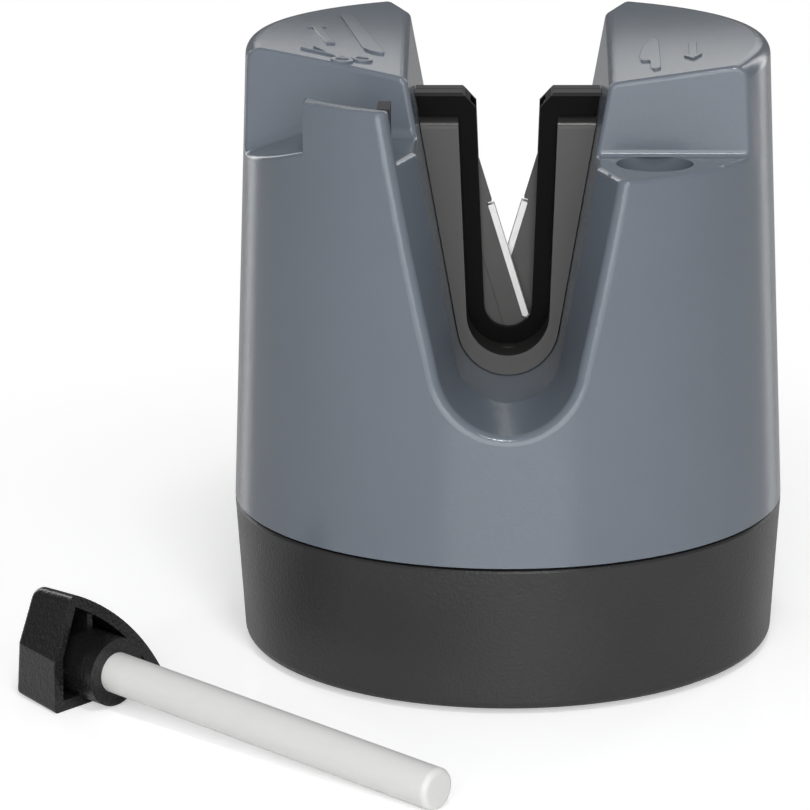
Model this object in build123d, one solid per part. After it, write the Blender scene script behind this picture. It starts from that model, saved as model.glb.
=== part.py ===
from build123d import *
import os
from math import asin, atan2, cos, degrees, hypot, radians, sin, sqrt, tan

# Knife sharpener with a loose honing rod. Millimetres, +Z up, +Y away from the user, foot on z = 0.

# Casing: a drafted drum with two towers either side of a saddle
seam_radius = 45.0            # outside radius at the seam between casing and base
seam_height = 24.4            # underside of the casing
casing_draft = 2.33           # degrees the outside leans in
casing_wall = 2.6
roof_ref_set = 8.2            # the roof's reference point, in from the seam's radius
roof_fall_front = 10.7        # degrees the roofs fall towards the saddle, just in front of the drum
roof_fall_back = 1.7          # and just behind it, so that they are slightly twisted
roof_rise = 2.1               # degrees the roofs rise towards the back
roof_edge_radius = 2.2
saddle_edge_radius = 1.5

# Saddle: a rounded V that funnels open to the front and the back
saddle_gauge = 82.0           # height at which the half widths hold
saddle_half = 13.4            # half width along the straight stretch
saddle_lean = 10.3            # degrees each side leans from upright
saddle_floor = 46.4
mouth_depth = 16.5            # each funnel's length, in from the seam's radius
mouth_half = 19.2             # half width just outside the drum
mouth_lean = 15.2
mouth_drop = 1.5              # how far the mouth's floor lies below the saddle's
mouth_margin = 1.0            # how far the mouth's outline stands outside the drum

# Notch in the right tower that stores the rod handle
notch_depth = 25.5            # back face of the notch, in from the seam's radius
ledge_drop = 14.4             # from the roof's reference point down to the ledge
rod_hole_x = 22.75
rod_hole_set = 6.1            # in front of the notch's back face
notch_corner_radius = 1.0     # hollow corner at the back of the ledge
notch_edge_radius = 0.8

# Scissor pocket in the left tower
pocket_back_x = -17.7         # saddle end of the pocket's back face
pocket_back_set = 29.3        # and how far back it is, in from the seam's radius
pocket_turn = 18.5            # degrees the back face turns towards the left
pocket_drop = 12.1            # from the roof's reference point down to the floor
pocket_ledge_set = 13.2       # width of the ledge on the left, where the floor falls away
pocket_ledge_fall = 22.0      # degrees
pocket_bend_radius = 2.0
pocket_corner_radius = 1.6    # hollow corner at the back of the floor
pocket_edge_radius = 0.8
screen_thickness = 2.8        # curved wall in front of the pocket
screen_set = 13.4             # left end of the screen, in from the seam's radius
screen_drop = 4.2             # from the roof's reference point down to the screen's top
screen_root = 1.4             # how far the screen runs down into the casing
screen_edge_radius = 0.6
scissor_hone_x = -18.0        # face of the plate towards the saddle
scissor_hone_width = 2.0
scissor_hone_length = 6.6
scissor_hone_gap = 0.3        # from the screen
scissor_hone_step = 0.1       # below the screen's top
scissor_hone_sunk = 1.2       # below the pocket floor

# Base
base_bottom = 0.7
base_taper = 1.4              # how far the base draws in at its foot
base_wall = 2.6
base_floor_thickness = 2.6
base_bottom_edge = 1.4
base_top_edge = 0.35
seam_gap = 0.5
lip_depth = 4.0               # casing lip that drops into the base
lip_thickness = 2.0
lip_height = 3.0
lip_gap = 0.15
foot_thickness = 2.4
foot_edge_gap = 0.5
foot_set = 3.2                # in from the base's lower edge
foot_groove_shares = (0.35, 0.6, 0.85)  # of the foot's radius
foot_groove_width = 1.6
foot_groove_depth = 0.8

# Screws from the base into four posts of the casing
post_set = 9.2                # in from the seam's radius
post_angles = (22.0, 158.0, 202.0, 338.0)
post_radius = 3.6
post_top = 46.0
post_web = 2.4
post_seat = 8.0               # where the base's posts meet the casing's
base_screw_radius = 1.45
base_screw_length = 14.0
base_screw_head_radius = 2.8
base_screw_head = 2.0
screw_gap = 0.06              # round a thread that is cut into plastic
screw_head_gap = 0.2
screw_tip_gap = 1.0
screw_cross = 0.6             # reach of the drive's cross, as a share of the head
screw_cross_width = 0.7
screw_cross_depth = 0.6

# Honing rod, its handle and its sleeve
rod_radius = 3.25
rod_exposed = 68.0
rod_seated = 9.0
rod_tip_edge = 0.9
rod_bore_gap = 0.35
rod_seat_gap = 0.02
handle_gap = 0.25
handle_wall = 1.8
handle_rib = 1.1
handle_rib_drop = 1.6         # ribs stop this far above the rim
handle_edge_radius = 0.7
boss_radius = 5.5
boss_drop = 4.5               # boss length below the handle's rim
boss_gap = 0.5
boss_height = 6.0             # boss length above the handle's rim
collar_radius = 7.8
collar_depth = 15.0
sleeve_wall = 1.6
sleeve_seat = 8.0             # length of sleeve inside the collar
sleeve_floor = 1.6
sleeve_gap = 0.1
rod_end_gap = 1.0
rod_well_lift = 6.5           # from the base's floor up to the tip of the stored rod

# Where the loose rod lies
rod_lying_x = -61.5           # end of the boss
rod_lying_y = -39.5
rod_lying_turn = -41.0        # degrees

# Cartridge: two half shells that hold the sharpening arms
shell_half = 3.8              # half thickness across the plates
shell_wall = 1.3
shell_drop = 7.4              # from the roof's reference point down to the shells' top
shell_fit = 0.15
shell_rim = 1.0
shell_roof = 1.4
shell_edge = 0.45
parting_edge = 0.2            # along the top of the joint between the shells
slot_half = 4.85              # half width of the knife slot
slot_half_height = 81.5       # height at which that width holds
slot_lean = 2.2
slot_lift = 6.0               # slot floor above the saddle's floor
slot_mouth_width = 2.1
slot_mouth_depth = 2.3
band_half = 7.75              # half width of the opening in the raised band
band_half_height = 81.7
band_lean = 2.4
band_lift = 3.2               # floor of the band's opening above the saddle's floor
band_drop = 3.8               # from the shells' top down to the band's top
band_top_depth = 6.0          # distance of the band's face from the middle, at its top
band_tilt = 8.2
band_top_radius = 1.8
tail_half_width = 10.0
tail_half_depth = 6.0
tail_drop = 15.2              # tail's underside below the saddle's floor
tail_lift = 3.3               # tail's top above the saddle's floor
tail_cavity_half = 8.2
tail_floor = 5.3
tail_rib_height = 2.2
tail_heel_gap = 0.4           # from the rib to an arm's heel at rest
socket_fit = 0.15
socket_wall = 2.0
retainer_gap = 0.2            # from the retainer up to the tail
cartridge_screw_x = 7.2
cartridge_screw_lift = 2.6    # above the tail's underside
cartridge_screw_radius = 1.1
cartridge_screw_reach = 4.6
cartridge_screw_head_radius = 2.0
cartridge_screw_head = 1.4
retainer_length = 28.0
retainer_width = 20.0
retainer_thickness = 2.0
retainer_corner = 2.0
retainer_screw_y = 4.25
retainer_screw_radius = 1.0
retainer_screw_length = 9.0
retainer_screw_head_radius = 1.9
retainer_screw_head = 1.3

# Sharpening arms: the rear one is the front one turned half way round Z
arm_cross = 0.33              # how far past the middle the inner edge is at the middle of the hone
arm_lean = 16.85              # degrees the bar leans below the bend
arm_width = 4.2               # of the raised bar, measured level
arm_head = 6.0                # length of the upright head above the bend
arm_head_width = 1.8
arm_top_gap = 2.0             # below the shells' top
arm_shoulder_x = 5.2          # lower outer corner of the plate beside the bar
arm_shoulder_lift = 14.5      # and its height above the pivot
arm_step = 0.3                # how far the bar stands proud of the plate
arm_front = 2.25
arm_back = 0.2
arm_top_radius = 0.8
pivot_drop = 4.9              # pivots below the saddle's floor
pivot_radius = 1.25
pivot_reach = 5.0
pivot_fit = 0.03
pivot_running_gap = 0.05
arm_boss_radius = 3.0
arm_heel = 4.2
arm_heel_width = 2.8
hone_length = 19.4
hone_lift = 21.7              # middle of the hone above the pivot
hone_sunk = 0.75
hone_proud = 0.25
hone_fit = 0.03
hone_end_gap = 0.5            # open end of the seat above the hone
hone_edge = 0.3
spring_wire = 0.45
spring_mean_radius = 1.9
spring_pitch = 0.7
spring_turns = 1.25
spring_gap = 0.32             # from the middle plane to the first turn
spring_leg = 6.2
spring_heel_leg = 3.9
spring_slot_gap = 0.25
peg_radius = 0.6
peg_height = 5.0
peg_length = 2.0
peg_gap = 0.2

# Worked out from the sizes above: the stored rod sets the height of the ledge and so of the roofs
touch = 0.05                            # edges this near a face count as on it
quarter = 90.0
slope = tan(radians(casing_draft))
base_top = seam_height - seam_gap
base_bottom_radius = seam_radius - base_taper
foot_radius = base_bottom_radius - foot_set
post_circle = seam_radius - post_set
saddle_middle = seam_radius - mouth_depth
notch_back = notch_depth - seam_radius
rod_hole_y = notch_back - rod_hole_set
roof_ref_x = seam_radius - roof_ref_set
roof_ref_y = notch_back
pocket_back_y = pocket_back_set - seam_radius
pocket_ledge_x = pocket_ledge_set - seam_radius
screen_left = screen_set - seam_radius
base_flare = (seam_radius - base_bottom_radius) / (base_top - base_bottom)
base_floor_under = foot_thickness
base_floor_top = base_floor_under + base_floor_thickness
rod_tip_height = base_floor_top + rod_well_lift
ledge_height = rod_tip_height + rod_exposed + boss_drop
roof_height = ledge_height + ledge_drop
blank_top = roof_height + seam_radius   # the drum before its roofs are cut
blank_reach = seam_radius + mouth_margin
far = 2 * blank_top                     # reach of cutting blocks, past every face
mouth_floor = saddle_floor - mouth_drop
pocket_floor = roof_height - pocket_drop
screen_top = roof_height - screen_drop
shell_top = roof_height - shell_drop
band_top = shell_top - band_drop
band_floor = saddle_floor + band_lift
slot_floor = saddle_floor + slot_lift
tail_bottom = saddle_floor - tail_drop
tail_top = saddle_floor + tail_lift
tail_cavity_floor = tail_bottom + tail_floor
tail_rib_top = tail_cavity_floor + tail_rib_height
socket_bottom = tail_bottom - retainer_gap
cartridge_screw_z = tail_bottom + cartridge_screw_lift
base_screw_under = base_floor_under + screw_head_gap
base_screw_tip = base_screw_under + base_screw_head + base_screw_length
rod_bore_radius = rod_radius + rod_bore_gap
sleeve_radius = rod_bore_radius + sleeve_wall
sleeve_bottom = rod_tip_height - rod_end_gap - sleeve_floor
collar_bottom = ledge_height - collar_depth
sleeve_top = collar_bottom + sleeve_seat
boss_bore_floor = ledge_height - boss_drop - boss_gap
handle_back = notch_back - handle_gap
pocket_lowest = pocket_floor - tan(radians(pocket_ledge_fall)) * (seam_radius + pocket_ledge_x)
retainer_under = socket_bottom - retainer_thickness
pivot_height = saddle_floor - pivot_drop
hone_middle = pivot_height + hone_lift
arm_top = shell_top - arm_top_gap
arm_bend = arm_top - arm_head
arm_tan = tan(radians(arm_lean))
pivot_x = arm_cross + hone_lift * arm_tan - arm_width / 2
tail_rib_half = pivot_x - arm_heel_width / 2 - tail_heel_gap


def drum_radius(z, inset=0.0):
    return seam_radius - (z - seam_height) * slope - inset


def base_radius(z):
    return base_bottom_radius + (z - base_bottom) * base_flare


def upright(radius, low, high, x=0.0, y=0.0):
    return Pos(x, y, low) * Cylinder(radius, high - low, align=(Align.CENTER, Align.CENTER, Align.MIN))


def upright_cone(low_radius, high_radius, low, high):
    cone = Cone(low_radius, high_radius, high - low, align=(Align.CENTER, Align.CENTER, Align.MIN))
    return Pos(0, 0, low) * cone


def along_y(radius, low, high, x, z):
    bar = Cylinder(radius, high - low, align=(Align.CENTER, Align.CENTER, Align.MIN))
    return Pos(x, low, z) * Rot(-90, 0, 0) * bar


def block(low, high):
    size = [high[i] - low[i] for i in range(3)]
    middle = [(high[i] + low[i]) / 2 for i in range(3)]
    return Pos(*middle) * Box(*size)


def draw_y(face, low_y, high_y):
    return Pos(0, low_y, 0) * extrude(face, amount=high_y - low_y, dir=(0, 1, 0))


def prism(points, low_y, high_y):
    """An outline in X and Z, drawn out along Y."""
    face = make_face(Polyline(*[(x, 0, z) for x, z in points], close=True))
    return draw_y(face, low_y, high_y)


def middle_of(edge):
    return edge.position_at(0.5)


def is_upright(edge):
    rise = edge.position_at(1).Z - edge.position_at(0).Z
    return abs(rise) > edge.length / 2


def u_outline(half, at_height, lean, floor, top):
    """A rounded U of the given half width at one height, with its floor and open top."""
    a = radians(lean)
    # the round floor touches both leaning sides
    radius = (half - (at_height - floor) * tan(a)) * cos(a) / (1 - sin(a))
    centre = floor + radius
    side = radius * cos(a)
    tangent = centre - radius * sin(a)
    wide = side + (top - tangent) * tan(a)
    edges = [
        Line((-wide, 0, top), (-side, 0, tangent)),
        ThreePointArc((-side, 0, tangent), (0, 0, floor), (side, 0, tangent)),
        Line((side, 0, tangent), (wide, 0, top)),
        Line((wide, 0, top), (-wide, 0, top)),
    ]
    return make_face(Wire(edges))


def saddle_outline(grow, top):
    """The saddle's cross section at its straight stretch, grown by a wall or shrunk by a fit."""
    half = saddle_half + grow / cos(radians(saddle_lean))
    return u_outline(half, saddle_gauge, saddle_lean, saddle_floor - grow, top)


def mouth_outline(grow, top):
    half = mouth_half + grow / cos(radians(mouth_lean))
    return u_outline(half, saddle_gauge, mouth_lean, mouth_floor - grow, top)


def saddle_cut(grow=0.0):
    """Everything that the saddle takes out of the drum."""
    face = saddle_outline(grow, far)
    mouth = Pos(0, -blank_reach, 0) * mouth_outline(grow, far)
    funnel = loft([Pos(0, -saddle_middle, 0) * face, mouth], ruled=True)
    return draw_y(face, -saddle_middle, saddle_middle) + funnel + mirror(funnel, about=Plane.XZ)


def roof_at(x, y):
    """Height of the roof over a point."""
    back = (y + blank_reach) / (2 * blank_reach)
    fall = (1 - back) * tan(radians(roof_fall_front)) + back * tan(radians(roof_fall_back))
    return roof_height + fall * (abs(x) - roof_ref_x) + tan(radians(roof_rise)) * (y - roof_ref_y)


def roof_outline(side, y, lower):
    """What lies above one tower's roof in a cross section."""
    edge = side * blank_reach
    middle_z = roof_at(0, y) - lower
    edge_z = roof_at(edge, y) - lower
    return make_face(Polyline((0, y, middle_z), (edge, y, edge_z), (edge, y, far), (0, y, far), close=True))


def roof_cut(side, lower=0.0):
    ends = [roof_outline(side, y, lower) for y in (-blank_reach, blank_reach)]
    return loft(ends, ruled=True)


def drum(inset=0.0, low=seam_height):
    return upright_cone(drum_radius(low, inset), drum_radius(blank_top, inset), low, blank_top)


def towers(inset=0.0, low=seam_height):
    """The drum with its roofs and saddle cut, square at its edges."""
    return drum(inset, low) - roof_cut(1, inset) - roof_cut(-1, inset) - saddle_cut(inset)


def saddle_half_at(p):
    """Half width of the saddle at a point's height and depth."""
    share = max(0, abs(p.Y) - saddle_middle) / (blank_reach - saddle_middle)
    straight = saddle_half + (p.Z - saddle_gauge) * tan(radians(saddle_lean))
    mouth = mouth_half + (p.Z - saddle_gauge) * tan(radians(mouth_lean))
    return straight + share * (mouth - straight)


def by_skin(p, reach):
    return hypot(p.X, p.Y) > drum_radius(p.Z) - reach


def by_roof(p, reach):
    return p.Z > roof_at(p.X, p.Y) - reach


def by_saddle(p, reach):
    return abs(p.X) < saddle_half_at(p) + reach


def on_rim(edge):
    p = middle_of(edge)
    return by_roof(p, touch) and by_skin(p, touch)


def on_saddle_edge(edge):
    p = middle_of(edge)
    in_saddle = p.Z > mouth_floor - touch and by_saddle(p, saddle_edge_radius)
    return in_saddle and (by_skin(p, roof_edge_radius) or by_roof(p, roof_edge_radius))


def rounded_towers():
    body = towers()
    body = fillet(body.edges().filter_by(on_rim), roof_edge_radius)
    return fillet(body.edges().filter_by(on_saddle_edge), saddle_edge_radius)


def on_tower_face(p, saddle_reach):
    """Whether a point lies on or near a tower's outside."""
    return by_skin(p, roof_edge_radius) or by_roof(p, roof_edge_radius) or by_saddle(p, saddle_reach)


def notch_space(grow=0.0):
    """The store for the rod handle, above its ledge and in front of its back face."""
    return block((0, -far, ledge_height - grow), (far, notch_back + grow, far))


def notch_cut():
    space = notch_space()
    corner = space.edges().filter_by(Axis.X).group_by(Axis.Z)[0].sort_by(Axis.Y)[-1]
    return fillet(corner, notch_corner_radius)


def on_notch_edge(edge):
    """Edges round the notch's ledge and back face, but not the hollow corner between them."""
    p = middle_of(edge)
    if p.X < 0 or p.Z < ledge_height - touch or p.Y > notch_back + touch or edge.length < touch:
        return False
    by_ledge = p.Z < ledge_height + notch_corner_radius
    by_back = p.Y > notch_back - notch_corner_radius
    return (by_ledge or by_back) and on_tower_face(p, saddle_edge_radius)


def pocket_depth(p):
    """How far a point lies behind the pocket's back face."""
    turn = radians(pocket_turn)
    return (p.X - pocket_back_x) * sin(turn) + (p.Y - pocket_back_y) * cos(turn)


def pocket_plane(behind=0.0):
    """The pocket's back face, facing the user and a little left."""
    turn = radians(pocket_turn)
    inward = (sin(turn), cos(turn), 0)
    origin = (pocket_back_x + behind * inward[0], pocket_back_y + behind * inward[1], 0)
    return Plane(origin=origin, x_dir=(cos(turn), -sin(turn), 0), z_dir=inward)


def pocket_space(grow=0.0):
    """The space in front of the back face and above the floor, in the left half."""
    drop = tan(radians(pocket_ledge_fall)) * (far + pocket_ledge_x)
    floor = pocket_floor - grow
    outline = [(-far, floor - drop), (pocket_ledge_x, floor), (0, floor), (0, far), (-far, far)]
    space = prism(outline, -far, far)
    bend = space.edges().filter_by(Axis.Y).sort_by_distance((pocket_ledge_x, 0, floor))[0]
    in_front = Box(2 * far, 4 * far, 2 * far, align=(Align.CENTER, Align.CENTER, Align.MAX))
    return fillet(bend, pocket_bend_radius) & pocket_plane(grow) * in_front


def pocket_cut():
    space = pocket_space()
    low = [e for e in space.edges() if middle_of(e).Z < pocket_floor + touch]
    corner = [e for e in low if abs(pocket_depth(middle_of(e))) < touch]
    return fillet(corner, pocket_corner_radius)


def on_pocket_edge(edge):
    """Edges round the pocket's floor and back face, but not the hollow corner between them."""
    p = middle_of(edge)
    if p.X > 0 or p.Z < pocket_lowest - touch or pocket_depth(p) > touch:
        return False
    return on_tower_face(p, saddle_edge_radius / 2)


def screen(outside):
    """The thin curved wall that stands in front of the pocket, part of the drum's own outside."""
    keep = block((screen_left, -far, pocket_floor - screen_root), (0, 0, screen_top))
    body = (outside & keep) - drum(screen_thickness)
    uprights = body.edges().filter_by(is_upright).sort_by(Axis.X)
    inner = uprights[2:].sort_by(Axis.Y)[-1]
    tops = body.edges().group_by(Axis.Z)[-1]
    return fillet([*tops, inner], screen_edge_radius)


def post_places():
    return [(post_circle * cos(radians(a)), post_circle * sin(radians(a)), a) for a in post_angles]


def scissor_hone_plate(gap=0.0):
    """The plate that stands in the pocket's floor behind the screen, or its seat when grown by a gap."""
    left = scissor_hone_x - scissor_hone_width
    inside = drum_radius(screen_top, screen_thickness + scissor_hone_gap)
    front = -sqrt(inside ** 2 - left ** 2)
    low = (left - gap, front - gap, pocket_floor - scissor_hone_sunk - gap)
    high = (scissor_hone_x + gap, front + scissor_hone_length + gap, screen_top - scissor_hone_step)
    return block(low, high)


def casing_lip():
    radius = base_radius(seam_height - lip_depth) - base_wall - lip_gap
    root = drum_radius(seam_height, casing_wall / 2)
    ring = upright(radius, seam_height - lip_depth, seam_height)
    ring = ring + upright(root, seam_height, seam_height + lip_height)
    return ring - upright(radius - lip_thickness, 0, far)


def casing_posts():
    """Posts for the base screws, tied to the wall by webs."""
    posts = []
    reach = drum_radius(post_top, casing_wall / 2) - post_circle
    for x, y, angle in post_places():
        web = block((0, -post_web / 2, seam_height), (reach, post_web / 2, post_top))
        posts.append(upright(post_radius, post_seat, post_top, x, y))
        posts.append(Pos(x, y, 0) * Rot(0, 0, angle) * web)
    return posts


def casing():
    outside = rounded_towers()
    body = outside - pocket_cut()
    body = fillet(body.edges().filter_by(on_pocket_edge), pocket_edge_radius)
    body = body + screen(outside) - notch_cut()
    body = fillet(body.edges().filter_by(on_notch_edge), notch_edge_radius)
    hollow = towers(casing_wall, seam_height - lip_depth)
    body = body - (hollow - notch_space(casing_wall) - pocket_space(casing_wall))
    body = body + casing_lip() + casing_posts()
    # collar under the ledge for the rod sleeve
    collar = upright(collar_radius, collar_bottom, ledge_height, rod_hole_x, rod_hole_y)
    body = body + (collar & outside)
    # socket round the cartridge's tail
    wide = tail_half_width + socket_fit
    deep = tail_half_depth + socket_fit
    thick_x = wide + socket_wall
    thick_y = deep + socket_wall
    socket = block((-thick_x, -thick_y, socket_bottom), (thick_x, thick_y, tail_top))
    body = body + (socket - saddle_cut())
    body = body - block((-wide, -deep, 0), (wide, deep, tail_top + socket_fit))
    # the rod's way in, its boss and its sleeve
    rod_place = Pos(rod_hole_x, rod_hole_y, 0)
    body = body - rod_place * upright(boss_radius + boss_gap, boss_bore_floor, ledge_height)
    body = body - rod_place * upright(rod_bore_radius, collar_bottom, ledge_height)
    body = body - rod_place * upright(sleeve_radius + sleeve_gap, 0, sleeve_top)
    for x, y, angle in post_places():
        body = body - upright(base_screw_radius + screw_gap, 0, base_screw_tip + screw_tip_gap, x, y)
    return body - scissor_hone_plate(hone_fit)


def base():
    body = upright_cone(base_bottom_radius, seam_radius, base_bottom, base_top)
    body = chamfer(body.edges().sort_by(Axis.Z)[-1], base_top_edge)
    body = fillet(body.edges().sort_by(Axis.Z)[0], base_bottom_edge)
    room_radius = base_radius(base_floor_top) - base_wall
    body = body - upright_cone(room_radius, seam_radius - base_wall, base_floor_top, base_top)
    body = body - upright(foot_radius + foot_edge_gap, 0, base_floor_under)
    # cup that holds the foot of the rod sleeve
    cup_radius = sleeve_radius + sleeve_gap
    cup_top = sleeve_bottom + sleeve_floor + base_wall
    cup = upright(cup_radius + base_wall, base_floor_under, cup_top, rod_hole_x, rod_hole_y)
    body = body + (cup & upright(room_radius + base_wall / 2, 0, far))
    for x, y, angle in post_places():
        head_top = base_screw_under + base_screw_head
        body = body + upright(post_radius, base_floor_under, post_seat, x, y)
        body = body - upright(base_screw_head_radius + screw_head_gap, 0, head_top, x, y)
        body = body - upright(base_screw_radius + screw_head_gap, 0, far, x, y)
    return body - upright(cup_radius, sleeve_bottom, far, rod_hole_x, rod_hole_y)


def foot():
    body = upright(foot_radius, 0, foot_thickness)
    for share in foot_groove_shares:
        radius = share * foot_radius
        ring = upright(radius + foot_groove_width / 2, 0, foot_groove_depth)
        body = body - (ring - upright(radius - foot_groove_width / 2, 0, foot_groove_depth))
    return body


def screw(radius, length, head_radius, head):
    """A screw that stands on its head's face and points up."""
    bar = Box(2 * screw_cross * head_radius, screw_cross_width, 2 * screw_cross_depth)
    return upright(head_radius, 0, head) + upright(radius, 0, head + length) - bar - Rot(0, 0, 90) * bar


def base_screws():
    one = screw(base_screw_radius, base_screw_length, base_screw_head_radius, base_screw_head)
    return Compound(children=[Pos(x, y, base_screw_under) * one for x, y, angle in post_places()])


def rod_sleeve():
    body = upright(sleeve_radius, sleeve_bottom, sleeve_top, rod_hole_x, rod_hole_y)
    return body - upright(rod_bore_radius, sleeve_bottom + sleeve_floor, far, rod_hole_x, rod_hole_y)


def stored_handle():
    """The handle as it sits in its notch."""
    fit = block((0, -far, ledge_height), (far, handle_back, far))
    blank = rounded_towers() & fit
    back_edges = [e for e in blank.edges() if middle_of(e).Y > handle_back - touch]
    back_edges = [e for e in back_edges if middle_of(e).Z > ledge_height + touch]
    blank = fillet(back_edges, handle_edge_radius)
    room = towers(handle_wall) & block((0, -far, 0), (far, handle_back - handle_wall, far))
    top = ledge_height + boss_height
    low = ledge_height + handle_rib_drop
    rib = block((-far, -handle_rib / 2, low), (far, handle_rib / 2, top))
    middle = Pos(rod_hole_x, rod_hole_y, 0)
    ribs = middle * (rib + Rot(0, 0, 90) * rib)
    body = blank - room + (ribs & blank)
    body = body + middle * upright(boss_radius, ledge_height - boss_drop, top)
    return body - middle * upright(rod_radius + rod_seat_gap, 0, ledge_height - boss_drop + rod_seated)


def stored_rod():
    top = rod_tip_height + rod_exposed + rod_seated
    body = upright(rod_radius, rod_tip_height, top, rod_hole_x, rod_hole_y)
    return fillet(body.edges().sort_by(Axis.Z)[0], rod_tip_edge)


def lay_down(piece):
    """Lays a stored piece on the table, on the rim of the handle's back face and the rod's tip."""
    turn = radians(rod_lying_turn)
    axis_height = handle_back - rod_hole_y
    reach = boss_drop + rod_exposed - rod_tip_edge
    # the tip's round edge comes down to the table as the handle tips forward
    over = axis_height - rod_radius + rod_tip_edge
    tilt = degrees(atan2(over, reach) - asin(rod_tip_edge / hypot(over, reach)))
    stored = Plane(origin=(rod_hole_x, handle_back, ledge_height), x_dir=(1, 0, 0), z_dir=(0, 0, 1))
    back = boss_drop * cos(radians(tilt))
    origin = (rod_lying_x - back * cos(turn), rod_lying_y - back * sin(turn), 0)
    away = (-cos(turn), -sin(turn), 0)
    lying = Plane(origin=origin, x_dir=(-sin(turn), cos(turn), 0), z_dir=away)
    return lying.location * Rot(tilt, 0, 0) * stored.location.inverse() * piece


def shell_band():
    """The raised band round the front of the knife slot, sloping down and away."""
    band = draw_y(saddle_outline(-shell_fit, band_top), -saddle_middle, shell_wall - shell_half)
    outward = (0, -cos(radians(band_tilt)), sin(radians(band_tilt)))
    face = Plane(origin=(0, -band_top_depth, band_top), x_dir=(1, 0, 0), z_dir=outward)
    band = band - face * Box(far, 2 * far, far, align=(Align.CENTER, Align.CENTER, Align.MIN))
    top_front = band.edges().filter_by(Axis.X).group_by(Axis.Z)[-1].sort_by(Axis.Y)[0]
    band = fillet(top_front, band_top_radius)
    return band - draw_y(u_outline(band_half, band_half_height, band_lean, band_floor, far), -far, far)


def shell_room():
    """The space inside a half shell for an arm, its pivot and the other arm's spring."""
    inside = shell_wall - shell_half
    room = draw_y(saddle_outline(-shell_fit - shell_rim, shell_top - shell_roof), inside, 0)
    tail = block((-tail_cavity_half, inside, tail_cavity_floor), (tail_cavity_half, 0, tail_top))
    rib = block((-tail_rib_half, inside, 0), (tail_rib_half, 0, tail_rib_top))
    # slot that holds the spring's fixed leg
    leg_z = pivot_height - spring_mean_radius
    leg_y = spring_gap + spring_wire / 2
    half = spring_wire / 2 + spring_slot_gap
    leg_end = pivot_x + spring_heel_leg + spring_slot_gap
    leg = block((-leg_end, -leg_y - half, leg_z - half), (-pivot_x, 0, leg_z + half))
    return room + tail - rib + leg


def knife_slot():
    slot = draw_y(u_outline(slot_half, slot_half_height, slot_lean, slot_floor, far), -far, far)
    edge = slot_half + (shell_top - slot_half_height) * tan(radians(slot_lean))
    wide = edge + slot_mouth_width
    low = shell_top - slot_mouth_depth
    mouth = [(-wide, shell_top), (-edge, low), (edge, low), (wide, shell_top), (wide, far), (-wide, far)]
    return slot + prism(mouth, -far, far)


def cartridge_half(rear):
    """One half shell, drawn at the front. The rear half is the same shell turned half way round Z."""
    plate = draw_y(saddle_outline(-shell_fit, shell_top), -shell_half, 0)
    top_front = plate.edges().filter_by(Axis.X).group_by(Axis.Z)[-1].sort_by(Axis.Y)[0]
    plate = chamfer(top_front, shell_edge)
    joint = plate.edges().filter_by(Axis.X).group_by(Axis.Z)[-1].sort_by(Axis.Y)[-1]
    plate = chamfer(joint, parting_edge)
    tail = block((-tail_half_width, -tail_half_depth, tail_bottom), (tail_half_width, 0, tail_top))
    body = plate + shell_band() + tail - shell_room() - knife_slot()
    for side in (1, -1):
        bore = pivot_radius + pivot_fit
        body = body - along_y(bore, -pivot_reach - pivot_fit, far, side * pivot_x, pivot_height)
        x = side * cartridge_screw_x
        if rear:
            head_y = cartridge_screw_head - tail_half_depth
            head = cartridge_screw_head_radius + screw_head_gap
            body = body - along_y(head, -far, head_y, x, cartridge_screw_z)
            body = body - along_y(cartridge_screw_radius + screw_head_gap, -far, far, x, cartridge_screw_z)
        else:
            reach = cartridge_screw_reach + screw_head_gap
            body = body - along_y(cartridge_screw_radius + screw_gap, -reach, far, x, cartridge_screw_z)
    tip = retainer_under + retainer_screw_length + screw_head_gap
    body = body - upright(retainer_screw_radius + screw_gap, 0, tip, 0, -retainer_screw_y)
    return turned(body) if rear else body


def cartridge_screws():
    length = tail_half_depth - cartridge_screw_head + cartridge_screw_reach
    one = screw(cartridge_screw_radius, length, cartridge_screw_head_radius, cartridge_screw_head)
    one = Pos(0, tail_half_depth, cartridge_screw_z) * Rot(90, 0, 0) * one
    return Compound(children=[Pos(side * cartridge_screw_x, 0, 0) * one for side in (1, -1)])


def retainer():
    half_x = retainer_length / 2
    half_y = retainer_width / 2
    body = block((-half_x, -half_y, retainer_under), (half_x, half_y, socket_bottom))
    body = fillet(body.edges().filter_by(Axis.Z), retainer_corner)
    for side in (1, -1):
        body = body - upright(retainer_screw_radius + screw_head_gap, 0, far, 0, side * retainer_screw_y)
    return body


def retainer_screws():
    one = screw(retainer_screw_radius, retainer_screw_length, retainer_screw_head_radius, retainer_screw_head)
    low = retainer_under - retainer_screw_head
    return Compound(children=[Pos(0, side * retainer_screw_y, low) * one for side in (1, -1)])


def arm_edge_x(z):
    """The front arm's inner edge below its bend."""
    return arm_cross + (hone_middle - z) * arm_tan


def hone_bar(fit=0.0, end_gap=0.0):
    """The front hone, or its seat when grown by a fit and lengthened by an end gap."""
    half = hone_length / 2 + fit
    bar = block((-hone_sunk - fit, -arm_front, -half), (hone_proud + fit, -arm_back, half + end_gap))
    return Pos(arm_cross, 0, hone_middle) * Rot(0, -arm_lean, 0) * bar


def peg_x():
    """The peg stands just right of the spring's upright leg."""
    return pivot_x - spring_mean_radius + spring_wire / 2 + peg_radius + peg_gap


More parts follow.
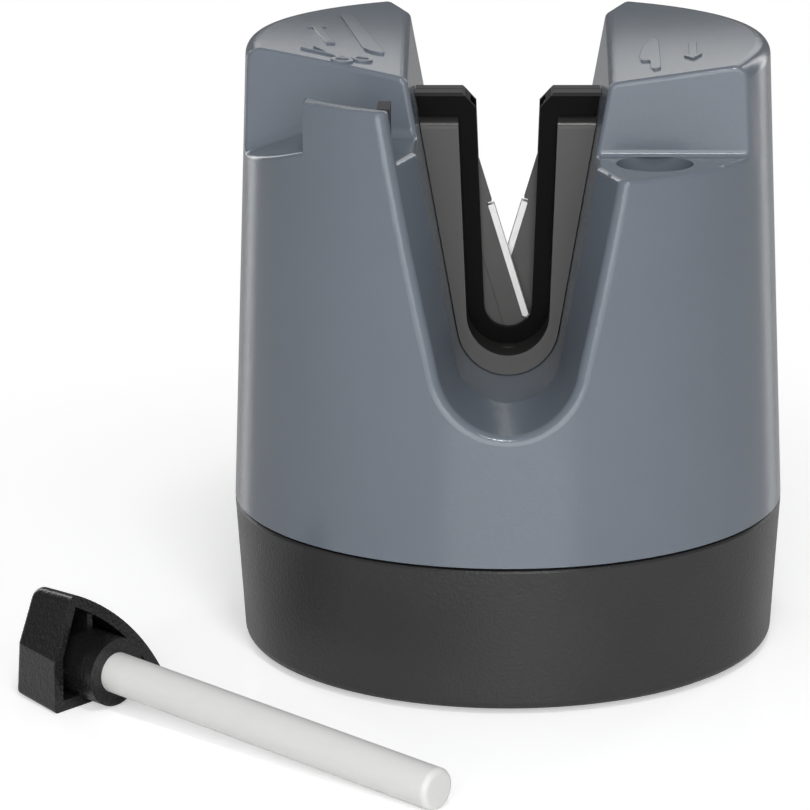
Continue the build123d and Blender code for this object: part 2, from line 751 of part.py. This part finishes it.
def front_arm():
    inner = arm_edge_x(arm_bend)
    outer = inner - arm_head_width
    foot_x = arm_edge_x(pivot_height)
    outline = [
        (outer, arm_top),
        (inner, arm_top),
        (inner, arm_bend),
        (foot_x, pivot_height),
        (foot_x - arm_width, pivot_height),
        (-arm_shoulder_x, pivot_height + arm_shoulder_lift),
        (outer, arm_bend),
    ]
    whole = prism(outline, -arm_front, -arm_back)
    whole = fillet(whole.edges().filter_by(Axis.Y).group_by(Axis.Z)[-1], arm_top_radius)
    # only the bar along the inner edge keeps the full thickness
    bar_outline = [
        (inner, arm_bend),
        (foot_x, pivot_height),
        (foot_x - arm_width, pivot_height),
        (inner - arm_width, arm_bend),
    ]
    plate = block((-far, arm_step - arm_front, 0), (far, 0, far))
    body = (whole & plate) + (whole & prism(bar_outline, -far, far))
    body = body + along_y(arm_boss_radius, -arm_front, -arm_back, pivot_x, pivot_height)
    half = arm_heel_width / 2
    heel_low = pivot_height - arm_heel
    body = body + block((pivot_x - half, -arm_front, heel_low), (pivot_x + half, -arm_back, pivot_height))
    body = body - along_y(pivot_radius + pivot_running_gap, -far, far, pivot_x, pivot_height)
    body = body - hone_bar(hone_fit, hone_end_gap)
    return body + along_y(peg_radius, -arm_front, peg_length, peg_x(), pivot_height + peg_height)


def front_hone():
    bar = hone_bar()
    return chamfer(bar.edges().filter_by(Axis.Y).sort_by(Axis.X)[-2:], hone_edge)


def pivot_pin(x):
    return along_y(pivot_radius, -pivot_reach, pivot_reach, x, pivot_height)


def front_spring():
    """Torsion spring beside the front arm: a leg into the shell, turns round the pin, a leg to the peg."""
    steps = round(spring_turns * 4)
    start_y = spring_gap + spring_wire / 2

    def at(step):
        a = radians(-quarter * (step + 1))
        y = start_y + spring_pitch * step / 4
        return (pivot_x + spring_mean_radius * cos(a), y, pivot_height + spring_mean_radius * sin(a))

    last = at(steps)
    heel = (pivot_x + spring_heel_leg, start_y, pivot_height - spring_mean_radius)
    path = [Line(heel, at(0))]
    for i in range(steps):
        path.append(TangentArc(at(i), at(i + 1), tangent=path[-1] % 1))
    path.append(Line(last, Vector(last) + (path[-1] % 1) * spring_leg))
    wire = Wire(path)
    section = Plane(origin=wire.position_at(0), z_dir=wire.tangent_at(0)) * Circle(spring_wire / 2)
    return sweep(section, path=wire)


def turned(piece):
    return Rot(0, 0, 180) * piece


def main():
    os.makedirs("parts", exist_ok=True)
    nodes = {
        "casing": casing(),
        "base": base(),
        "rubber_foot": foot(),
        "base_screws": base_screws(),
        "rod_sleeve": rod_sleeve(),
        "scissor_hone": scissor_hone_plate(),
        "cartridge_front_shell": cartridge_half(False),
        "cartridge_rear_shell": cartridge_half(True),
        "cartridge_screws": cartridge_screws(),
        "cartridge_retainer": retainer(),
        "retainer_screws": retainer_screws(),
        "front_arm": front_arm(),
        "rear_arm": turned(front_arm()),
        "front_hone": front_hone(),
        "rear_hone": turned(front_hone()),
        "front_pivot_pin": pivot_pin(pivot_x),
        "rear_pivot_pin": pivot_pin(-pivot_x),
        "front_arm_spring": front_spring(),
        "rear_arm_spring": turned(front_spring()),
        "honing_rod": lay_down(stored_rod()),
        "rod_handle": lay_down(stored_handle()),
    }
    for name, shape in nodes.items():
        export_step(shape, f"parts/{name}.step")


main()
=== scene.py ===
import math

import bmesh
import bpy
from mathutils import Matrix, Vector


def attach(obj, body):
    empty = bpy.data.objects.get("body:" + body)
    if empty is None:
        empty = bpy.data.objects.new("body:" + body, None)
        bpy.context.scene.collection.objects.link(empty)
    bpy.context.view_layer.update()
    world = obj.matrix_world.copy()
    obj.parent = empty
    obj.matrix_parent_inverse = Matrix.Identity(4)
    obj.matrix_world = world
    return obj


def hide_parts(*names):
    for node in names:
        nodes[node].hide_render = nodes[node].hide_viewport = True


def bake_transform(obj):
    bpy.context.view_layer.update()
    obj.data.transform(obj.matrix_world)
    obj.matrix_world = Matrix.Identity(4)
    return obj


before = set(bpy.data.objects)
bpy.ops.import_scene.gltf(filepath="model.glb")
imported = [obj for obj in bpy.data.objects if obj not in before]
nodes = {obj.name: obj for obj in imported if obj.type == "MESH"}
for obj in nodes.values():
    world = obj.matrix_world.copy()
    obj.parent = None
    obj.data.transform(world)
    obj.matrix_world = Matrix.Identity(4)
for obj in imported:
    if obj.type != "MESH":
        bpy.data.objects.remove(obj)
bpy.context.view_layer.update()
mm = 0.001
print("frame loaded:", len(nodes), "nodes")


class Sock:
    # one output socket; arithmetic on it adds Math nodes to its material
    def __init__(self, finish, socket):
        self.finish = finish
        self.socket = socket

    def calc(self, operation, *others):
        return self.finish.calc(operation, self, *others)

    def __add__(self, other):
        return self.calc("ADD", other)

    def __sub__(self, other):
        return self.calc("SUBTRACT", other)

    def __mul__(self, other):
        return self.calc("MULTIPLY", other)

    def __rsub__(self, other):
        return self.finish.calc("SUBTRACT", other, self)

    __radd__ = __add__
    __rmul__ = __mul__


class Finish:
    # a node tree to wire up: a material's by default, or the world's
    def __init__(self, name, owner=None):
        self.owner = owner or bpy.data.materials.new(name)
        self.owner.use_nodes = True
        self.tree = self.owner.node_tree
        self.shader = self.tree.nodes.get("Principled BSDF")
        self.output = next(n for n in self.tree.nodes if n.type.startswith("OUTPUT"))

    def add(self, kind, settings=None, inputs=None, out=0):
        node = self.tree.nodes.new(kind)
        for name, value in (settings or {}).items():
            setattr(node, name, value)
        for name, value in (inputs or {}).items():
            self.feed(node.inputs[name], value)
        return Sock(self, node.outputs[out])

    def feed(self, socket, value):
        if isinstance(value, Sock):
            self.tree.links.new(value.socket, socket)
        elif isinstance(value, tuple) and len(value) == 3 and socket.type == "RGBA":
            socket.default_value = (*value, 1)
        else:
            socket.default_value = value

    def set(self, **inputs):
        for name, value in inputs.items():
            self.feed(self.shader.inputs[name.replace("_", " ")], value)
        return self

    def calc(self, operation, *values):
        return self.add("ShaderNodeMath", {"operation": operation}, dict(enumerate(values)))

    def place(self):
        return self.add("ShaderNodeTexCoord", out="Object")

    def axis(self, name):
        return self.add("ShaderNodeSeparateXYZ", None, {"Vector": self.place()}, out=name)

    def noise(self, size, detail=2.0, stretch=(1, 1, 1)):
        # soft noise from 0 to 1, with blobs of about the given size in metres
        scaled = self.add("ShaderNodeMapping", None, {"Vector": self.place(), "Scale": stretch})
        return self.add("ShaderNodeTexNoise", None, {"Vector": scaled, "Scale": 1 / size, "Detail": detail})

    def pits(self, size):
        # distance to the nearest of scattered points, for a moulded spark grain
        settings = {"feature": "SMOOTH_F1"}
        return self.add("ShaderNodeTexVoronoi", settings, {"Vector": self.place(), "Scale": 1 / size})

    def step(self, value, low, high):
        settings = {"interpolation_type": "SMOOTHSTEP"}
        return self.add("ShaderNodeMapRange", settings, {"Value": value, "From Min": low, "From Max": high})

    def blend(self, share, first, second):
        settings = {"data_type": "RGBA"}
        return self.add("ShaderNodeMix", settings, {0: share, 6: first, 7: second}, out=2)

    def shades(self, value, colour, spread):
        # the colour, a little darker and lighter as the value goes from 0 to 1
        dark = tuple(c * (1 - spread) for c in colour)
        light = tuple(c * (1 + spread) for c in colour)
        return self.blend(value, dark, light)

    def bump(self, height, depth):
        return self.add("ShaderNodeBump", None, {"Height": height, "Distance": depth, "Strength": 1.0})


casingLook = {
    "colour": (0.157, 0.181, 0.214),
    "spread": 0.04,
    "cloud": 18 * mm,          # size of the slow change of tone
    "roughness": 0.14,
    "roughSpread": 0.04,
    "ior": 1.48,
    "grain": 0.45 * mm,
    "fineGrain": 0.45 / 2.3 * mm,
    "fineShare": 0.3,
    "grainDepth": 0.026 * mm,
}


def casingPlastic():
    look = casingLook
    f = Finish("casingPlastic")
    cloud = f.noise(look["cloud"], 3)
    grain = f.noise(look["grain"], 2)
    fine = f.noise(look["fineGrain"], 1)
    height = grain * (1 - look["fineShare"]) + fine * look["fineShare"]
    f.set(Base_Color=f.shades(cloud, look["colour"], look["spread"]))
    f.set(Roughness=look["roughness"] + (cloud + fine) * look["roughSpread"])
    f.set(Normal=f.bump(height, look["grainDepth"]), IOR=look["ior"])
    return f.owner


baseLook = {
    "colour": (0.034, 0.034, 0.035),
    "spread": 0.12,
    "cloud": 12 * mm,
    "roughness": 0.33,
    "roughSpread": 0.10,
    "shine": 0.40,
    "grain": 0.42 * mm,
    "pit": 0.546 * mm,
    "pitShare": 0.4,
    "grainDepth": 0.115 * mm,
}


def grainedBlack(name, look):
    f = Finish(name)
    cloud = f.noise(look["cloud"])
    grain = f.noise(look["grain"])
    pits = f.pits(look["pit"])
    height = grain * (1 - look["pitShare"]) + pits * look["pitShare"]
    f.set(Base_Color=f.shades(cloud, look["colour"], look["spread"]))
    f.set(Roughness=look["roughness"] + grain * look["roughSpread"])
    f.set(Normal=f.bump(height, look["grainDepth"]), Specular_IOR_Level=look["shine"])
    return f.owner


handleLook = {
    "colour": (0.010, 0.010, 0.0105),
    "spread": 0.10,
    "cloud": 12 * mm,
    "roughness": 0.22,
    "roughSpread": 0.10,
    "shine": 0.52,
    "grain": 0.55 * mm,
    "pit": 0.715 * mm,
    "pitShare": 0.4,
    "grainDepth": 0.110 * mm,
}

sleeveLook = {**baseLook, "grainDepth": 0.006 * mm}

cartridgeLook = {
    "plate": (0.0022, 0.0022, 0.0022),
    "plateRoughness": 0.20,
    "plateShine": 0.06,
    # band grey: partly the satin plastic's own tone, partly painted reflection of bright surroundings
    "band": (0.021, 0.021, 0.020),
    "bandRoughness": 0.27,
    "bandShine": 0.45,
    "bandFrom": 3.83 * mm,     # distance from the middle plane at which the band begins
    "rimFrom": 90.53 * mm,     # height at which the bevelled rim begins
    "fade": 0.01 * mm,
    "spread": 0.06,
    "roughSpread": 0.05,
    "cloud": 9 * mm,
    "grain": 0.2 * mm,
    "grainDepth": 0.002 * mm,
}


def cartridgePlastic():
    # deep black plates, with a satin grey band standing proud of them and a bevelled rim on top; the grey
    # of band and rim, ten times lighter than the plates, is partly their own satin tone and partly painted
    # reflection of bright surroundings
    look = cartridgeLook
    f = Finish("cartridgePlastic")
    fade = look["fade"]
    depth = f.axis("Y").calc("ABSOLUTE")
    # mask of band and rim, where the lighter grey with painted reflection goes
    band = f.step(depth, look["bandFrom"] - fade, look["bandFrom"] + fade)
    # the bevelled rim takes the band's grey too, as a painted highlight along the top edges
    rimWithPaintedHighlight = f.step(f.axis("Z"), look["rimFrom"] - fade, look["rimFrom"] + fade)
    band = band.calc("MAXIMUM", rimWithPaintedHighlight)
    cloud = f.noise(look["cloud"])
    uneven = cloud * look["roughSpread"]
    grain = f.bump(f.noise(look["grain"]), look["grainDepth"])
    f.set(Base_Color=f.shades(cloud, look["plate"], look["spread"]))
    f.set(Roughness=look["plateRoughness"] + uneven)
    f.set(Normal=grain, Specular_IOR_Level=look["plateShine"])
    # lighter grey body for band and rim: a real satin finish, with painted reflection in its colour
    bandBody = f.add("ShaderNodeBsdfPrincipled", None, {
        "Base Color": f.shades(cloud, look["band"], look["spread"]),
        "Roughness": look["bandRoughness"] + uneven,
        "Normal": grain,
        "Specular IOR Level": look["bandShine"],
    })
    plateBody = Sock(f, f.shader.outputs[0])
    mixed = f.add("ShaderNodeMixShader", None, {0: band, 1: plateBody, 2: bandBody})
    f.feed(f.output.inputs["Surface"], mixed)
    return f.owner


armLook = {
    "colour": (0.085, 0.085, 0.083),
    "spread": 0.10,
    "cloud": 4 * mm,
    "roughness": 0.42,
    "roughSpread": 0.12,
    "ior": 1.5,
    "streak": 0.16 * mm,
    "streakAlong": (1, 1, 0.06),
    "streakDepth": 0.002 * mm,
}


def armMetal():
    look = armLook
    f = Finish("armMetal")
    streak = f.noise(look["streak"], 2, look["streakAlong"])
    cloud = f.noise(look["cloud"])
    f.set(Base_Color=f.shades(cloud, look["colour"], look["spread"]))
    f.set(Roughness=look["roughness"] + streak * look["roughSpread"])
    f.set(Normal=f.bump(streak, look["streakDepth"]), IOR=look["ior"])
    return f.owner


steelLook = {
    "colour": (0.55, 0.55, 0.56),
    "spread": 0.06,
    "cloud": 3 * mm,
    "metallic": 1.0,
    "roughness": 0.30,
    "roughSpread": 0.12,
    "streak": 0.12 * mm,
    "streakAlong": (1, 1, 0.08),
    "streakDepth": 0.002 * mm,
}

honeLook = {
    **steelLook,
    "colour": (0.94, 0.94, 0.93),
    "metallic": 0.3,
    "roughness": 0.45,
    "streakAlong": (1, 1, 0.05),
}


def brushedSteel(name, look):
    f = Finish(name)
    streak = f.noise(look["streak"], 3, look["streakAlong"])
    cloud = f.noise(look["cloud"])
    f.set(Base_Color=f.shades(cloud, look["colour"], look["spread"]), Metallic=look["metallic"])
    f.set(Roughness=look["roughness"] + streak * look["roughSpread"])
    f.set(Normal=f.bump(streak, look["streakDepth"]))
    return f.owner


rodLook = {
    "colour": (0.79, 0.79, 0.78),
    "spread": 0.02,
    "cloud": 7 * mm,
    "roughness": 0.38,
    "roughSpread": 0.10,
    "grain": 0.18 * mm,
    "grainDepth": 0.0025 * mm,
    "glow": 0.25,              # share of light that goes a little way into the ceramic
    "glowDepth": 2 * mm,
}


def rodCeramic():
    look = rodLook
    f = Finish("rodCeramic")
    cloud = f.noise(look["cloud"], 3)
    grain = f.noise(look["grain"])
    f.set(Base_Color=f.shades(cloud, look["colour"], look["spread"]))
    f.set(Roughness=look["roughness"] + grain * look["roughSpread"])
    f.set(Normal=f.bump(grain, look["grainDepth"]))
    f.set(Subsurface_Weight=look["glow"], Subsurface_Scale=look["glowDepth"], Subsurface_Radius=(1, 1, 1))
    return f.owner


scissorHoneLook = {
    # near-black with a blue cast: partly the hone's own dark tone, partly painted shade of the pocket it
    # stands in
    "colour": (0.022, 0.022, 0.028),
    "spread": 0.35,
    "roughness": 0.60,
    "roughSpread": 0.10,
    "grain": 0.15 * mm,
    "grainDepth": 0.012 * mm,
}


def ceramicInPaintedShade():
    look = scissorHoneLook
    f = Finish("ceramicInPaintedShade")
    grain = f.noise(look["grain"], 3)
    f.set(Base_Color=f.shades(grain, look["colour"], look["spread"]))
    f.set(Roughness=look["roughness"] + grain * look["roughSpread"])
    f.set(Normal=f.bump(grain, look["grainDepth"]))
    return f.owner


footLook = {
    "colour": (0.28, 0.28, 0.28),
    "spread": 0.08,
    "cloud": 10 * mm,
    "roughness": 0.7,
    "roughSpread": 0.15,
    "grain": 0.3 * mm,
    "grainDepth": 0.01 * mm,
}


def footRubber():
    look = footLook
    f = Finish("footRubber")
    grain = f.noise(look["grain"], 3)
    f.set(Base_Color=f.shades(f.noise(look["cloud"]), look["colour"], look["spread"]))
    f.set(Roughness=look["roughness"] + grain * look["roughSpread"])
    f.set(Normal=f.bump(grain, look["grainDepth"]))
    return f.owner


casingFinish = casingPlastic()
steelFinish = brushedSteel("plainSteel", steelLook)
finishes = {
    "casing": casingFinish,
    "base": grainedBlack("basePlastic", baseLook),
    "rubber_foot": footRubber(),
    "rod_sleeve": grainedBlack("sleevePlastic", sleeveLook),
    "scissor_hone": ceramicInPaintedShade(),
    "honing_rod": rodCeramic(),
    "rod_handle": grainedBlack("handlePlastic", handleLook),
}
cartridgeFinish = cartridgePlastic()
armFinish = armMetal()
honeFinish = brushedSteel("honeSteel", honeLook)
for name in ("cartridge_front_shell", "cartridge_rear_shell"):
    finishes[name] = cartridgeFinish
for name in ("front_arm", "rear_arm"):
    finishes[name] = armFinish
for name in ("front_hone", "rear_hone"):
    finishes[name] = honeFinish
for name, node in nodes.items():
    node.data.materials.clear()
    node.data.materials.append(finishes.get(name, steelFinish))
print("finishes on", len(nodes), "nodes")


def twistingSpring(name, arm):
    # a still copy of the spring's wire in place of the part it hides; on the real thing one leg is held and
    # the other pushed as the arm turns
    node = f"{arm}_spring"
    piece = bpy.data.objects.new(name, nodes[node].data.copy())
    bpy.context.scene.collection.objects.link(piece)
    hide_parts(node)
    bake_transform(piece)


twistingSpring("frontTwistSpring", "front_arm")
twistingSpring("rearTwistSpring", "rear_arm")


roofLook = {
    "height": 98.4,
    "x": 36.8,
    "y": -19.5,
    "fallFront": 10.7,     # degrees towards the saddle, at this distance in front of the axis
    "fallBack": 1.7,       # and as far behind it
    "reach": 46.0,
    "rise": 2.1,
}


def roofPoint(x, y):
    # a point in millimetres on the slightly twisted roof over x and y
    look = roofLook
    front = math.tan(math.radians(look["fallFront"]))
    twist = math.tan(math.radians(look["fallBack"])) - front
    fall = front + twist * (y + look["reach"]) / (2 * look["reach"])
    rise = math.tan(math.radians(look["rise"]))
    return Vector((x, y, look["height"] + fall * (abs(x) - look["x"]) + rise * (y - look["y"])))


def roofUp(x, y):
    # the roof's normal, from two short steps along it
    right = roofPoint(x + 0.1, y) - roofPoint(x - 0.1, y)
    away = roofPoint(x, y + 0.1) - roofPoint(x, y - 0.1)
    return right.cross(away).normalized()


signLook = {
    "proud": 0.34 * mm,
    "sunk": 0.20 * mm,
    "edge": 0.09 * mm,
    "bladeCorner": 0.25,       # in millimetres, as all outlines
    "arrowCorner": 0.15,
}


def roundedOutline(points, radius, steps=5):
    # a closed outline with its corners rounded, as far as its sides allow
    outline = []
    count = len(points)
    for i in range(count):
        here = Vector(points[i])
        back = Vector(points[i - 1]) - here
        ahead = Vector(points[(i + 1) % count]) - here
        reach = min(radius, back.length * 0.45, ahead.length * 0.45)
        start = here + back.normalized() * reach
        end = here + ahead.normalized() * reach
        for k in range(steps + 1):
            t = k / steps
            outline.append((1 - t) ** 2 * start + 2 * t * (1 - t) * here + t * t * end)
    return outline


weldWithin = 0.001 * mm


def weldMesh(mesh):
    work = bmesh.new()
    work.from_mesh(mesh)
    bmesh.ops.remove_doubles(work, verts=work.verts, dist=weldWithin)
    bmesh.ops.recalc_face_normals(work, faces=work.faces)
    work.to_mesh(mesh)
    work.free()


def raisedSign(name, outlines):
    # thin plates that stand on a roof; the first outline is the edge and the others are holes
    look = signLook
    curve = bpy.data.curves.new(name, "CURVE")
    curve.dimensions = "2D"
    curve.fill_mode = "BOTH"
    curve.extrude = (look["proud"] + look["sunk"]) / 2 - look["edge"]
    curve.bevel_depth = look["edge"]
    curve.bevel_resolution = 2
    curve.offset = -look["edge"]
    centre = sum((Vector(p) for p in outlines[0]), Vector((0, 0))) / len(outlines[0])
    for outline in outlines:
        spline = curve.splines.new("POLY")
        spline.points.add(len(outline) - 1)
        for point, place in zip(spline.points, outline):
            offset = (Vector(place) - centre) * mm
            point.co = (offset.x, offset.y, 0, 1)
        spline.use_cyclic_u = True
    up = roofUp(centre.x, centre.y)
    right = Vector((1, 0, 0))
    right = (right - up * right.dot(up)).normalized()
    turn = Matrix((right, up.cross(right), up)).transposed().to_4x4()
    holder = bpy.data.objects.new(name + "Curve", curve)
    bpy.context.scene.collection.objects.link(holder)
    bpy.context.view_layer.update()
    mesh = bpy.data.meshes.new_from_object(holder.evaluated_get(bpy.context.evaluated_depsgraph_get()))
    bpy.data.objects.remove(holder)
    middle = roofPoint(centre.x, centre.y) * mm + up * (look["proud"] - look["sunk"]) / 2
    mesh.transform(Matrix.Translation(middle) @ turn)
    weldMesh(mesh)
    piece = bpy.data.objects.new(name, mesh)
    bpy.context.scene.collection.objects.link(piece)
    mesh.materials.clear()
    mesh.materials.append(casingFinish)
    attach(piece, "sharpener")
    return piece


def ring(centre, long, short, turn, count=28):
    # an ellipse in millimetres, its long half axis turned in degrees
    a = math.radians(turn)
    points = []
    for i in range(count):
        t = 2 * math.pi * i / count
        u = long * math.cos(t)
        v = short * math.sin(t)
        across = u * math.cos(a) - v * math.sin(a)
        along = u * math.sin(a) + v * math.cos(a)
        points.append((centre[0] + across, centre[1] + along))
    return points


def strip(start, end, startHalf, endHalf):
    # a tapered bar between two points, in millimetres
    start = Vector(start)
    end = Vector(end)
    along = (end - start).normalized()
    side = Vector((-along.y, along.x))
    corners = [
        start - side * startHalf, end - side * endHalf,
        end + side * endHalf, start + side * startHalf,
    ]
    return roundedOutline(corners, signLook["bladeCorner"])


def arrow(tail, tip, half, headHalf, headLength):
    tail = Vector(tail)
    tip = Vector(tip)
    along = (tip - tail).normalized()
    side = Vector((-along.y, along.x))
    neck = tip - along * headLength
    corners = [
        tail - side * half, neck - side * half, neck - side * headHalf, tip,
        neck + side * headHalf, neck + side * half, tail + side * half,
    ]
    return roundedOutline(corners, signLook["arrowCorner"])


signs = {
    "scissorBladeLong": [strip((-33.0, -5.5), (-24.6, -8.9), 0.12, 0.42)],
    "scissorBladeShort": [strip((-31.0, -3.5), (-26.6, -9.2), 0.12, 0.42)],
    "scissorLoopRight": [ring((-23.1, -8.2), 1.75, 1.45, 10), ring((-23.1, -8.2), 1.05, 0.85, 10)],
    "scissorLoopLeft": [ring((-26.2, -10.4), 1.85, 1.5, 20), ring((-26.2, -10.4), 1.15, 0.9, 20)],
    "backArrow": [arrow((-28.4, 0.1), (-31.9, 13.4), 0.75, 1.7, 2.6)],
    "longKnife": [roundedOutline([
        (-27.9, 21.2), (-23.1, -1.2), (-21.8, -2.8), (-19.5, -3.4), (-20.3, -0.2), (-25.8, 21.8)], 1.2)],
    "smallKnife": [roundedOutline([
        (23.7, 6.2), (22.6, 4.1), (21.4, -0.7), (20.9, -5.8), (21.0, -8.7), (22.5, -8.9),
        (22.4, -13.6), (22.9, -15.0), (24.0, -14.6), (24.2, -5.3), (24.3, 3.6)], 0.7)],
    "downArrow": [arrow((29.6, -0.3), (29.2, -11.3), 0.65, 1.5, 2.6)],
}
for name, outlines in signs.items():
    raisedSign(name, outlines)
print("raised signs:", len(signs))


cameraLook = {
    "distance": 600 * mm,
    "height": 202.95 * mm,
    "pitch": 15.35,
    "focal": 3781.3,      # in pixels of the square picture
    "picture": 810,
    "centre": 508,        # column of the object's axis
    "sensor": 36.0,
}


def placeCamera():
    look = cameraLook
    data = bpy.data.cameras.new("camera")
    data.sensor_width = look["sensor"]
    data.sensor_fit = "HORIZONTAL"
    data.lens = look["focal"] * look["sensor"] / look["picture"]
    data.shift_x = (look["picture"] / 2 - look["centre"]) / look["picture"]
    data.clip_start = 0.01
    camera = bpy.data.objects.new("camera", data)
    camera.location = (0, -look["distance"], look["height"])
    camera.rotation_euler = (math.radians(90 - look["pitch"]), 0, 0)
    bpy.context.scene.collection.objects.link(camera)
    bpy.context.scene.camera = camera


placeCamera()

floorLook = {
    "size": 6.0,
    "below": 0.02 * mm,    # just under the foot, so that the two don't coincide
    "colour": (0.96, 0.96, 0.96),
    "roughness": 0.16,
    "shine": 0.22,
    "lift": 0.43,          # how far the floor is lifted towards white, for the camera alone
    "clearFrom": 0.06,     # it fades to plain white between these distances from the axis
    "clearTo": 0.20,
}


def layFloor():
    look = floorLook
    bpy.ops.mesh.primitive_plane_add(size=look["size"], location=(0, 0, -look["below"]))
    floor = bpy.context.object
    floor.name = "floor"
    f = Finish("floorWhite")
    f.set(Base_Color=look["colour"], Roughness=look["roughness"], Specular_IOR_Level=look["shine"])
    distance = f.add("ShaderNodeVectorMath", {"operation": "LENGTH"}, {0: f.place()}, out="Value")
    clear = f.step(distance, look["clearFrom"], look["clearTo"])
    path = f.add("ShaderNodeLightPath", out="Is Camera Ray")
    f.set(Emission_Color=path, Emission_Strength=look["lift"])
    glow = f.add("ShaderNodeEmission", None, {"Color": (1, 1, 1), "Strength": 1.0})
    body = Sock(f, f.shader.outputs[0])
    mixed = f.add("ShaderNodeMixShader", None, {0: clear * path, 1: body, 2: glow})
    f.feed(f.output.inputs["Surface"], mixed)
    floor.data.materials.append(f.owner)


layFloor()

worldLook = {
    "fill": 0.22,          # light that the surroundings give
    "back": 0.14,          # what a shiny surface sees behind the object
    "front": 0.10,         # and towards the user
    "turn": 0.35,          # sine of the angle over which the one fades into the other
}


def makeWorld():
    look = worldLook
    world = bpy.data.worlds.new("studio")
    bpy.context.scene.world = world
    f = Finish("studio", world)
    path = f.add("ShaderNodeLightPath", out="Is Camera Ray")
    rays = path.socket.node.outputs
    shiny = Sock(f, rays["Is Glossy Ray"])
    through = Sock(f, rays["Is Transmission Ray"])
    direction = f.add("ShaderNodeTexCoord", out="Generated")
    ahead = f.add("ShaderNodeSeparateXYZ", None, {"Vector": direction}, out="Y")
    behind = f.step(ahead, -look["turn"], look["turn"])
    seen = look["front"] + behind * (look["back"] - look["front"])
    plain = path.calc("MAXIMUM", through)
    strength = plain + (1 - plain) * (shiny * seen + (1 - shiny) * look["fill"])
    glow = f.tree.nodes["Background"]
    f.feed(glow.inputs["Color"], (1, 1, 1))
    f.feed(glow.inputs["Strength"], strength)


makeWorld()

lampLook = {
    # name: (place, aim, size across, size up, watts)
    "frontSoftbox": ((0.02, -1.43, 0.58), (0, 0, 0.055), 1.5, 1.1, 17.0),
    "topSoftbox": ((0.05, -0.35, 0.60), (0, 0, 0.055), 0.11, 0.09, 1.0),
    "leftStrip": ((-0.54, 0.72, 0.30), (0, 0, 0.055), 0.16, 0.8, 1.4),
    "rightStrip": ((0.54, 0.72, 0.30), (0, 0, 0.055), 0.16, 0.8, 1.1),
    "roofCard": ((0, 0.062, 0.136), (0, 0, 0.136), 0.12, 0.04, 0.018),
}
mirroredOnly = ("roofCard",)     # white cards that show in shiny surfaces and light nothing else


def hangLamps():
    for name, (place, aim, across, tall, watts) in lampLook.items():
        data = bpy.data.lights.new(name, "AREA")
        data.shape = "RECTANGLE"
        data.size = across
        data.size_y = tall
        data.energy = watts
        lamp = bpy.data.objects.new(name, data)
        lamp.location = place
        lamp.rotation_euler = (Vector(aim) - Vector(place)).to_track_quat("-Z", "Y").to_euler()
        lamp.visible_camera = False
        lamp.visible_diffuse = name not in mirroredOnly
        bpy.context.scene.collection.objects.link(lamp)


hangLamps()
bpy.context.scene.view_settings.view_transform = "Standard"
print("camera, floor and lamps in place")
